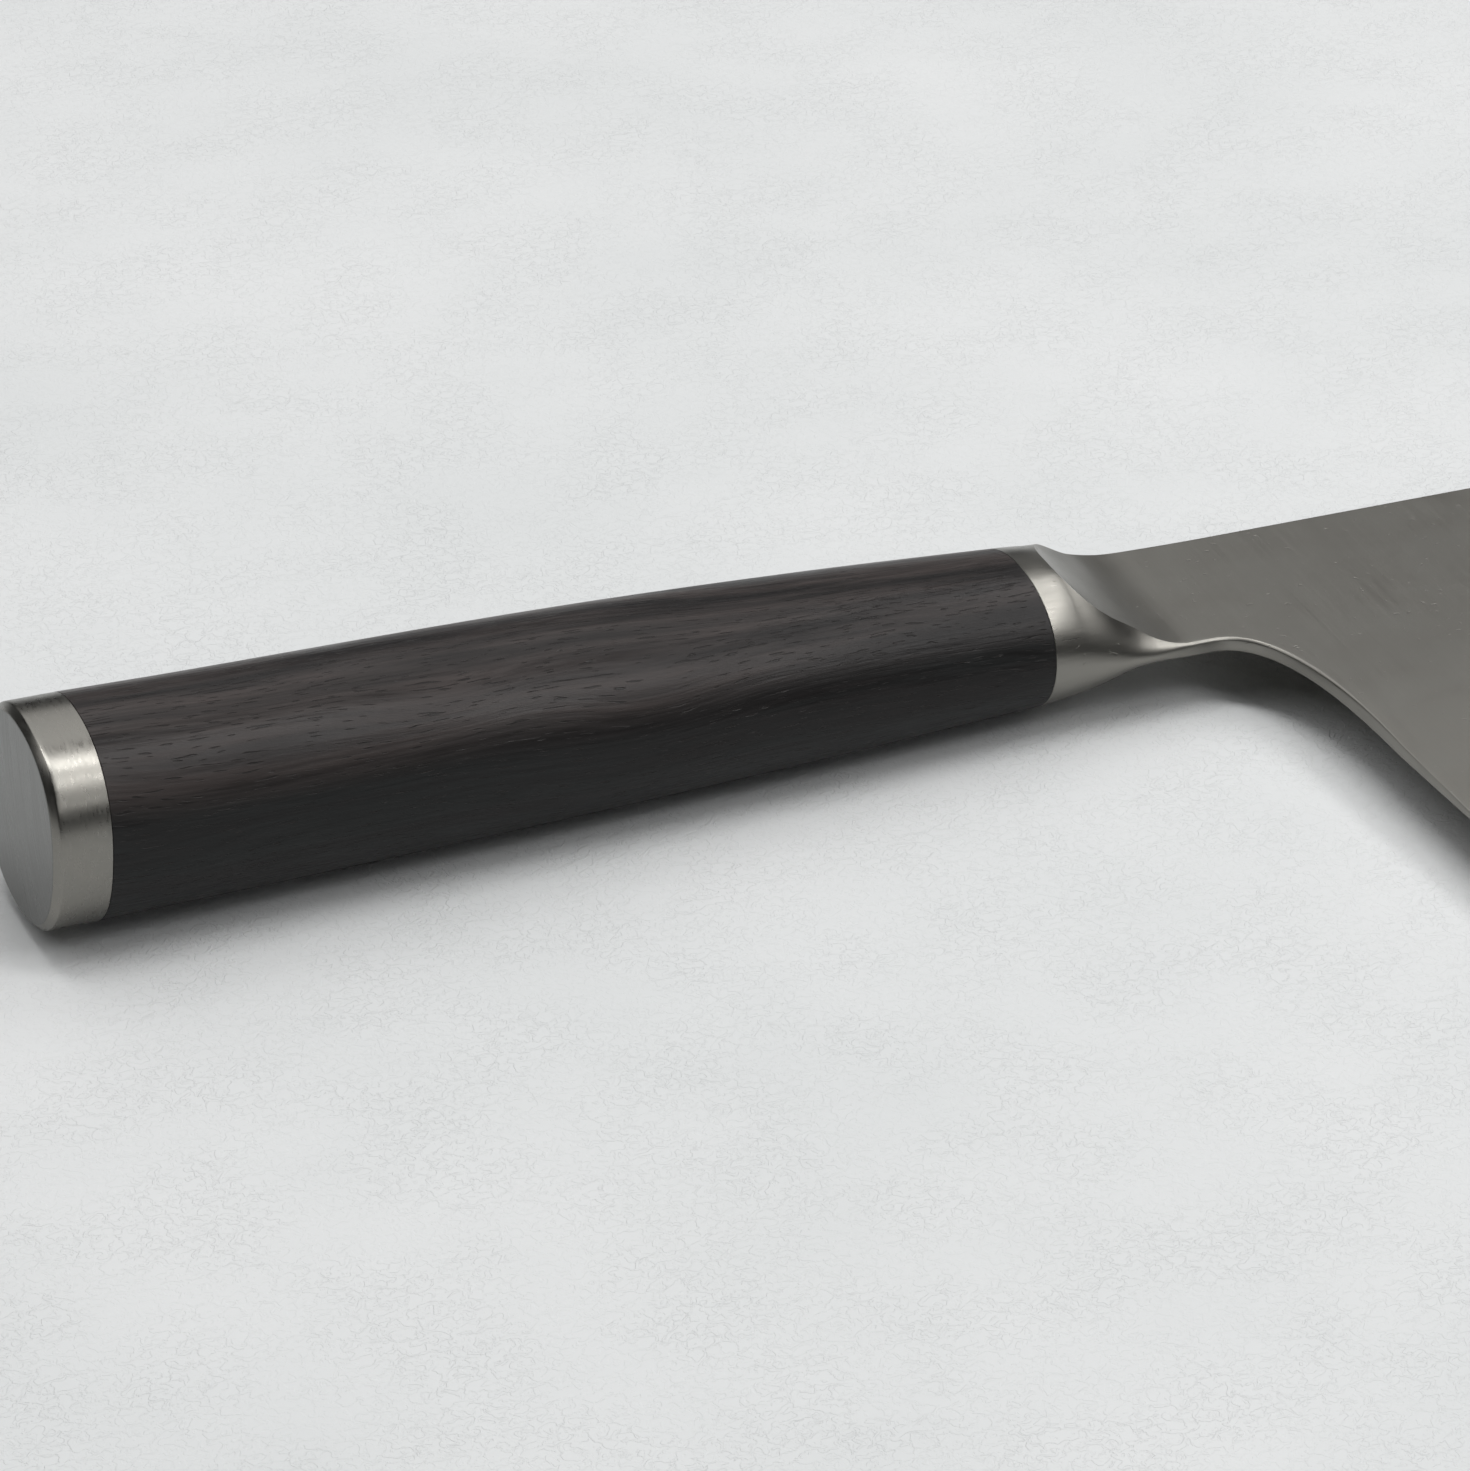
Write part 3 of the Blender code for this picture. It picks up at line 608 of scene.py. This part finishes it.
# Figure of the wood. Its pores are 0.1 mm wide, drawn twice as wide to show.
GROWTH_BANDS, FIBRES, PORES = (60.0, 2.6, 2.6), (11.0, 0.42, 0.42), (2.4, 0.2, 0.2)
OIL_PATCHES, GRAIN_SWAY, SWAY = (22.0, 9.0, 9.0), (45.0, 16.0, 16.0), 6.0
PORES_SHOW, BANDS_SHOW = (0.69, 0.77), (0.35, 0.6)
WOOD_DARK, WOOD_GREY, WOOD_BROWN, PORE_DARK = "#201e1e", "#383534", "#403836", "#252221"
# Painted shade: a darker, colder colour for the wood below the top of the handle, and the heights
# in mm above the knife's middle where it fades out and where it is full
WOOD_PAINTED_SHADE, PAINTED_SHADE_ENDS, PAINTED_SHADE_STARTS = "#232424", 11.0, 7.5
DARKEST_FIBRE, LIGHTEST_FIBRE = 0.72, 1.22
WOOD_IOR, OPEN_PORED_SHEEN = 1.45, 0.22
WOOD_ROUGHNESS, WOOD_UNEVEN = 0.34, 0.07
BAND_RELIEF, FIBRE_RELIEF = 0.09 * MM, 0.05 * MM

# Plaster of the floor
CLOUDS, SKIN_STEPS, LIFTED = (70.0, 60.0, 50.0), (1.3, 1.1, 1.1), (14.0, 11.0, 11.0)
STEPS_SHOW, LIFTED_SHOW, LEAST_LIFTED = (0.46, 0.54), (0.3, 0.6), 0.4
STEP_HEIGHT = 0.052 * MM
PLASTER_SHADE, PLASTER_LIGHT, PLASTER_ROUGHNESS = "#d7d9d9", "#e0e1e1", 0.8


def linear(code):
    """An sRGB hex colour as Blender's linear red, green, blue and alpha."""
    parts = [int(code[i:i + 2], 16) / 255 for i in (1, 3, 5)]
    return [p / 12.92 if p <= 0.04045 else ((p + 0.055) / 1.055) ** 2.4 for p in parts] + [1.0]


def new_material(name):
    """A new material with its nodes and its shader."""
    material = bpy.data.materials.new(name)
    material.use_nodes = True
    return material, material.node_tree, material.node_tree.nodes["Principled BSDF"]


def node(tree, kind, settings=None, **links):
    """Adds one node. Settings are its own values, links its inputs: a socket or a plain value.

    An input goes by its name, with _ for a space, or by i and its number.
    """
    made = tree.nodes.new(kind)
    for key, value in (settings or {}).items():
        setattr(made, key, value)
    for key, value in links.items():
        place = int(key[1:]) if key[0] == "i" and key[1:].isdigit() else key.replace("_", " ")
        socket = made.inputs[place]
        if isinstance(value, bpy.types.NodeSocket):
            tree.links.new(value, socket)
        else:
            socket.default_value = value
    return made


def marks(tree, place, size, detail=2.0, distortion=0.0):
    """Random marks between 0 and 1. Their usual length, height and depth are in millimetres."""
    scaled = node(tree, "ShaderNodeMapping", Vector=place, Scale=[1 / s for s in size])
    return node(tree, "ShaderNodeTexNoise", Vector=scaled.outputs["Vector"], Scale=1.0,
                Detail=detail, Distortion=distortion).outputs["Fac"]


def on_knife(tree):
    """Where a point lies on the knife, in millimetres in the knife's axes."""
    return node(tree, "ShaderNodeAttribute", {"attribute_name": "knife_mm"}).outputs["Vector"]


def on_object(tree):
    """Where a point lies on an object that is placed in metres, in millimetres."""
    metres = node(tree, "ShaderNodeTexCoord").outputs["Object"]
    return node(tree, "ShaderNodeVectorMath", {"operation": "SCALE"}, i0=metres,
                Scale=1 / MM).outputs["Vector"]


def knife_steel(name):
    """Stainless knife steel with a satin finish, for the bolster and the blade.

    The blade is ground on a fine belt that runs square to the edge. The bolster is linished by
    hand along its curves, and the two finishes run into each other over the weld. It gives the
    eye a soft warm grey sheen with blurred reflections, hair-fine lines and faint blotches.
    """
    material, tree, shader = new_material(name)
    place = on_knife(tree)
    along = node(tree, "ShaderNodeSeparateXYZ", Vector=place).outputs["X"]
    bladeward = node(tree, "ShaderNodeMapRange", {"interpolation_type": "SMOOTHSTEP"}, Value=along,
                     From_Min=BELT_FROM, From_Max=BELT_ALL).outputs["Result"]
    lines = node(tree, "ShaderNodeMix", Factor=bladeward,
                 i2=marks(tree, place, HAND_LINES, detail=3.0),
                 i3=marks(tree, place, BELT_LINES, detail=3.0)).outputs["Result"]
    blotches = marks(tree, place, BLOTCHES, detail=3.0, distortion=0.6)
    tone = node(tree, "ShaderNodeMix", {"data_type": "RGBA"}, Factor=blotches,
                i6=linear(STEEL_WARM), i7=linear(STEEL_COOL)).outputs[2]
    finish = node(tree, "ShaderNodeMix", Factor=bladeward, i2=HAND_ROUGHNESS,
                  i3=BELT_ROUGHNESS).outputs["Result"]
    uneven = node(tree, "ShaderNodeMath", {"operation": "ADD"}, i0=lines, i1=blotches).outputs[0]
    uneven = node(tree, "ShaderNodeMapRange", Value=uneven, From_Min=LINES_AND_BLOTCHES[0],
                  From_Max=LINES_AND_BLOTCHES[1], To_Min=-UNEVEN_ROUGHNESS,
                  To_Max=UNEVEN_ROUGHNESS).outputs["Result"]
    rough = node(tree, "ShaderNodeMath", {"operation": "ADD"}, i0=finish, i1=uneven).outputs[0]
    tree.links.new(tone, shader.inputs["Base Color"])
    tree.links.new(rough, shader.inputs["Roughness"])
    shader.inputs["Metallic"].default_value = 1.0
    handwork = node(tree, "ShaderNodeMath", {"operation": "SUBTRACT"}, i0=1.0, i1=bladeward)
    waves = node(tree, "ShaderNodeMath", {"operation": "MULTIPLY"},
                 i0=marks(tree, place, HAND_WAVES, detail=1.0), i1=handwork.outputs[0]).outputs[0]
    rolling = node(tree, "ShaderNodeBump", Height=waves, Distance=WAVE_DEPTH)
    pits = node(tree, "ShaderNodeMapRange", Value=marks(tree, place, PITS, detail=1.0),
                From_Min=PITS_SHOW[0], From_Max=PITS_SHOW[1], To_Max=-1.0).outputs["Result"]
    pitted = node(tree, "ShaderNodeBump", Height=pits, Distance=PIT_DEPTH,
                  Normal=rolling.outputs["Normal"])
    lined = node(tree, "ShaderNodeBump", Height=lines, Distance=LINE_DEPTH,
                 Normal=pitted.outputs["Normal"])
    tree.links.new(lined.outputs["Normal"], shader.inputs["Normal"])
    return material


def cap_steel():
    """Stainless steel with a satin finish, linished round its side and across its butt.

    It gives the eye a blurred bright band with a ragged edge where the fine lines cross it, and
    a butt whose grey is painted darker as shade, with a few faint curved scratches from being
    wiped and set down.
    """
    material, tree, shader = new_material("satin_stainless_cap")
    place = on_knife(tree)
    apart = node(tree, "ShaderNodeSeparateXYZ", Vector=place)
    butt = node(tree, "ShaderNodeMath", {"operation": "LESS_THAN"}, i0=apart.outputs["X"],
                i1=BUTT_DEPTH - CAP_LENGTH).outputs[0]
    sweep = node(tree, "ShaderNodeVectorMath", {"operation": "DISTANCE"}, i0=place,
                 i1=SCRATCH_CENTRE).outputs["Value"]
    bowed = node(tree, "ShaderNodeCombineXYZ", X=sweep, Y=apart.outputs["Y"],
                 Z=apart.outputs["Z"]).outputs["Vector"]
    lines = node(tree, "ShaderNodeMix", Factor=butt, i2=marks(tree, place, CAP_LINES, detail=1.5),
                 i3=marks(tree, bowed, BUTT_LINES, detail=2.0)).outputs["Result"]
    scratch = node(tree, "ShaderNodeMapRange", Value=marks(tree, bowed, SCRATCHES, detail=0.0),
                   From_Min=SCRATCHES_SHOW[0], From_Max=SCRATCHES_SHOW[1]).outputs["Result"]
    scratch = node(tree, "ShaderNodeMath", {"operation": "MULTIPLY"}, i0=scratch, i1=butt)
    blotches = marks(tree, place, CAP_BLOTCHES, detail=3.0, distortion=0.6)
    tone = node(tree, "ShaderNodeMix", {"data_type": "RGBA"}, Factor=blotches,
                i6=linear(STEEL_WARM), i7=linear(STEEL_COOL)).outputs[2]
    # Painted shade: the butt gets a darker grey than the side
    tone = node(tree, "ShaderNodeMix", {"data_type": "RGBA"}, Factor=butt, i6=tone,
                i7=linear(STEEL_BUTT_PAINTED_SHADE)).outputs[2]
    rough = node(tree, "ShaderNodeMapRange", Value=lines, From_Min=USUAL[0], From_Max=USUAL[1],
                 To_Min=HAND_ROUGHNESS - CAP_UNEVEN,
                 To_Max=HAND_ROUGHNESS + CAP_UNEVEN).outputs["Result"]
    tree.links.new(tone, shader.inputs["Base Color"])
    tree.links.new(rough, shader.inputs["Roughness"])
    shader.inputs["Metallic"].default_value = 1.0
    lined = node(tree, "ShaderNodeBump", Height=lines, Distance=CAP_LINE_DEPTH)
    scratched = node(tree, "ShaderNodeBump", {"invert": True}, Height=scratch.outputs[0],
                     Distance=SCRATCH_DEPTH, Normal=lined.outputs["Normal"])
    tree.links.new(scratched.outputs["Normal"], shader.inputs["Normal"])
    return material


def hidden_steel(name):
    """Mild steel as drawn or pressed, lightly oiled: plain grey with fine drawing lines."""
    material, tree, shader = new_material(name)
    lines = marks(tree, on_object(tree), DRAWN_LINES, detail=3.0)
    tone = node(tree, "ShaderNodeMix", {"data_type": "RGBA"}, Factor=lines,
                i6=linear(DRAWN_DARK), i7=linear(DRAWN_LIGHT)).outputs[2]
    rough = node(tree, "ShaderNodeMapRange", Value=lines, To_Min=DRAWN_SMOOTH, To_Max=DRAWN_ROUGH)
    tree.links.new(tone, shader.inputs["Base Color"])
    tree.links.new(rough.outputs["Result"], shader.inputs["Roughness"])
    shader.inputs["Metallic"].default_value = 1.0
    lined = node(tree, "ShaderNodeBump", Height=lines, Distance=DRAWN_DEPTH)
    tree.links.new(lined.outputs["Normal"], shader.inputs["Normal"])
    return material


def blackwood():
    """African blackwood, shaped on a belt, sanded fine and oiled.

    It gives the eye a nearly black brown with a soft sheen, browner and greyer patches where
    the oil sank in unevenly, darker streaks and hair-fine open pores along the grain. Below the
    top of the handle its colour is painted darker and colder, as painted shade on the underside.
    """
    material, tree, shader = new_material("oiled_blackwood")
    shader.inputs["IOR"].default_value = WOOD_IOR
    shader.inputs["Specular IOR Level"].default_value = OPEN_PORED_SHEEN
    place = on_knife(tree)
    sway = node(tree, "ShaderNodeMath", {"operation": "MULTIPLY"},
                i0=marks(tree, place, GRAIN_SWAY, detail=1.0), i1=SWAY).outputs[0]
    sway = node(tree, "ShaderNodeCombineXYZ", Y=sway, Z=sway).outputs["Vector"]
    grown = node(tree, "ShaderNodeVectorMath", {"operation": "ADD"}, i0=place,
                 i1=sway).outputs["Vector"]
    bands = marks(tree, grown, GROWTH_BANDS, detail=3.0)
    streaks = marks(tree, grown, FIBRES, detail=3.0)
    patches = marks(tree, place, OIL_PATCHES, detail=4.0, distortion=0.4)
    pores = node(tree, "ShaderNodeMapRange", Value=marks(tree, grown, PORES, detail=0.0),
                 From_Min=PORES_SHOW[0], From_Max=PORES_SHOW[1]).outputs["Result"]
    brown = node(tree, "ShaderNodeMix", {"data_type": "RGBA"}, Factor=patches,
                 i6=linear(WOOD_GREY), i7=linear(WOOD_BROWN)).outputs[2]
    height = node(tree, "ShaderNodeSeparateXYZ", Vector=grown).outputs["Z"]
    # Painted shade: below the top of the handle the wood turns to a darker, colder colour
    painted_shade = node(tree, "ShaderNodeMapRange", Value=height, From_Min=PAINTED_SHADE_ENDS,
                 From_Max=PAINTED_SHADE_STARTS).outputs["Result"]
    brown = node(tree, "ShaderNodeMix", {"data_type": "RGBA"}, Factor=painted_shade, i6=brown,
                 i7=linear(WOOD_PAINTED_SHADE)).outputs[2]
    banded = node(tree, "ShaderNodeMapRange", Value=bands, From_Min=BANDS_SHOW[0],
                  From_Max=BANDS_SHOW[1]).outputs["Result"]
    toned = node(tree, "ShaderNodeMix", {"data_type": "RGBA"}, Factor=banded,
                 i6=linear(WOOD_DARK), i7=brown).outputs[2]
    fibre = node(tree, "ShaderNodeMapRange", Value=streaks, From_Min=USUAL[0], From_Max=USUAL[1],
                 To_Min=DARKEST_FIBRE, To_Max=LIGHTEST_FIBRE).outputs["Result"]
    colour = node(tree, "ShaderNodeVectorMath", {"operation": "SCALE"}, i0=toned,
                  Scale=fibre).outputs["Vector"]
    colour = node(tree, "ShaderNodeMix", {"data_type": "RGBA"}, Factor=pores, i6=colour,
                  i7=linear(PORE_DARK)).outputs[2]
    tree.links.new(colour, shader.inputs["Base Color"])
    uneven = node(tree, "ShaderNodeMath", {"operation": "ADD"}, i0=patches, i1=streaks).outputs[0]
    rough = node(tree, "ShaderNodeMapRange", Value=uneven, From_Min=PATCHES_AND_STREAKS[0],
                 From_Max=PATCHES_AND_STREAKS[1], To_Min=WOOD_ROUGHNESS - WOOD_UNEVEN,
                 To_Max=WOOD_ROUGHNESS + WOOD_UNEVEN).outputs["Result"]
    tree.links.new(rough, shader.inputs["Roughness"])
    furrows = node(tree, "ShaderNodeMath", {"operation": "SUBTRACT"}, i0=streaks, i1=pores)
    belted = node(tree, "ShaderNodeBump", Height=bands, Distance=BAND_RELIEF)
    fibred = node(tree, "ShaderNodeBump", Height=furrows.outputs[0], Distance=FIBRE_RELIEF,
                  Normal=belted.outputs["Normal"])
    tree.links.new(fibred.outputs["Normal"], shader.inputs["Normal"])
    return material


def trowelled_plaster():
    """Fine gypsum plaster, smoothed with a steel trowel and left unpainted.

    It gives the eye a pale grey that is almost even, with broad soft clouds, and thin crinkled
    steps where the trowel lifted the skin of the plaster, which catch the light.
    """
    material, tree, shader = new_material("trowelled_plaster")
    place = on_object(tree)
    clouds = marks(tree, place, CLOUDS, detail=4.0)
    tone = node(tree, "ShaderNodeMapRange", Value=clouds, From_Min=USUAL[0], From_Max=USUAL[1])
    pale = node(tree, "ShaderNodeMix", {"data_type": "RGBA"}, Factor=tone.outputs["Result"],
                i6=linear(PLASTER_SHADE), i7=linear(PLASTER_LIGHT)).outputs[2]
    tree.links.new(pale, shader.inputs["Base Color"])
    shader.inputs["Roughness"].default_value = PLASTER_ROUGHNESS
    skin = marks(tree, place, SKIN_STEPS, detail=3.0, distortion=1.2)
    skin = node(tree, "ShaderNodeMapRange", Value=skin, From_Min=STEPS_SHOW[0],
                From_Max=STEPS_SHOW[1]).outputs["Result"]
    lifted = node(tree, "ShaderNodeMapRange", Value=marks(tree, place, LIFTED, detail=1.0),
                  From_Min=LIFTED_SHOW[0], From_Max=LIFTED_SHOW[1],
                  To_Min=LEAST_LIFTED).outputs["Result"]
    steps = node(tree, "ShaderNodeMath", {"operation": "MULTIPLY"}, i0=skin, i1=lifted)
    crinkled = node(tree, "ShaderNodeBump", Height=steps.outputs[0], Distance=STEP_HEIGHT)
    tree.links.new(crinkled.outputs["Normal"], shader.inputs["Normal"])
    return material


# Camera, fitted in the knife's axes: lens and film in mm, turn in degrees, place in metres
CAMERA_LENS, CAMERA_FILM = 144.3457, 36.0
CAMERA_TURN, CAMERA_PLACE = (57.0607, -4.1253, -25.1052), (-0.180042, -0.489691, 0.349859)
NEAREST_SEEN = 0.01

# Floor and lights, in metres. A light is given by its name, azimuth, elevation, width and
# height in degrees, brightness, and how far it is slid along its own width.
FLOOR_REACH = 5.0
LIGHT_DISTANCE = 1.3
LIGHTS = (("long_softbox", 99, 56, 77, 8, 6.2, 0.1),
          ("overhead_softbox", 129, 88, 10, 46, 9.0, 0.0),
          ("far_softbox", -27, 58, 90, 48, 1.1, 0.0),
          ("low_softbox", 169, 30, 26, 10, 1.9, 0.0),
          ("near_softbox", 150, 56, 18, 14, 4.5, 0.0),
          ("pale_wall", 52, 12, 44, 18, 0.36, 0.0))
ROOM_COLOUR, ROOM_STRENGTH = (0.95, 0.98, 1.0, 1.0), 0.02


def softbox(name, azimuth, elevation, width, height, brightness, slide):
    """A soft light that faces the knife from a place given by angles.

    Its azimuth runs from behind the knife over the blade's side. Width and height are what it
    takes up in the sky, and its brightness is that of its face.
    """
    turn, lift = math.radians(azimuth), math.radians(elevation)
    away = Vector((math.sin(turn) * math.cos(lift), math.cos(turn) * math.cos(lift),
                   math.sin(lift)))
    data = bpy.data.lights.new(name, "AREA")
    data.shape = "RECTANGLE"
    data.size = 2 * LIGHT_DISTANCE * math.tan(math.radians(width / 2))
    data.size_y = 2 * LIGHT_DISTANCE * math.tan(math.radians(height / 2))
    data.energy = math.pi * data.size * data.size_y * brightness
    lamp = bpy.data.objects.new(name, data)
    bpy.context.scene.collection.objects.link(lamp)
    lamp.location = away * LIGHT_DISTANCE + away.cross((0, 0, 1)).normalized() * slide
    lamp.rotation_mode = "QUATERNION"
    lamp.rotation_quaternion = (-away).to_track_quat("-Z", "Y")


def lay_floor():
    """The plaster floor under the knife."""
    mesh = bpy.data.meshes.new("plaster_floor")
    reach = FLOOR_REACH
    mesh.from_pydata([(-reach, -reach, 0), (reach, -reach, 0), (reach, reach, 0),
                      (-reach, reach, 0)], [], [(0, 1, 2, 3)])
    floor = bpy.data.objects.new("plaster_floor", mesh)
    bpy.context.scene.collection.objects.link(floor)
    mesh.materials.append(trowelled_plaster())


def place_camera():
    """The camera where the photograph was taken from."""
    data = bpy.data.cameras.new("camera")
    data.lens, data.sensor_width, data.clip_start = CAMERA_LENS, CAMERA_FILM, NEAREST_SEEN
    camera = bpy.data.objects.new("camera", data)
    bpy.context.scene.collection.objects.link(camera)
    turn = Euler([math.radians(angle) for angle in CAMERA_TURN]).to_matrix().to_4x4()
    camera.matrix_world = AT_REST @ Matrix.Translation(CAMERA_PLACE) @ turn
    bpy.context.scene.camera = camera


def light_room():
    """The lights and the faint grey of the room."""
    for light in LIGHTS:
        softbox(*light)
    room = bpy.data.worlds.new("studio")
    room.use_nodes = True
    bpy.context.scene.world = room
    room.node_tree.nodes["Background"].inputs["Color"].default_value = ROOM_COLOUR
    room.node_tree.nodes["Background"].inputs["Strength"].default_value = ROOM_STRENGTH
    bpy.context.scene.view_settings.view_transform = "Standard"


grip = make_grip()
end_cap = make_end_cap()
bolster = make_bolster()
blade = make_blade()
grip.data.materials.append(blackwood())
end_cap.data.materials.append(cap_steel())
bolster.data.materials.append(knife_steel("satin_stainless_bolster"))
blade.data.materials.append(knife_steel("satin_stainless_blade"))
for name in ("tang", "tang_washer", "tang_nut"):
    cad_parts[name].data.materials.clear()
    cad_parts[name].data.materials.append(hidden_steel("drawn_steel_" + name))

lay_floor()
place_camera()
light_room()
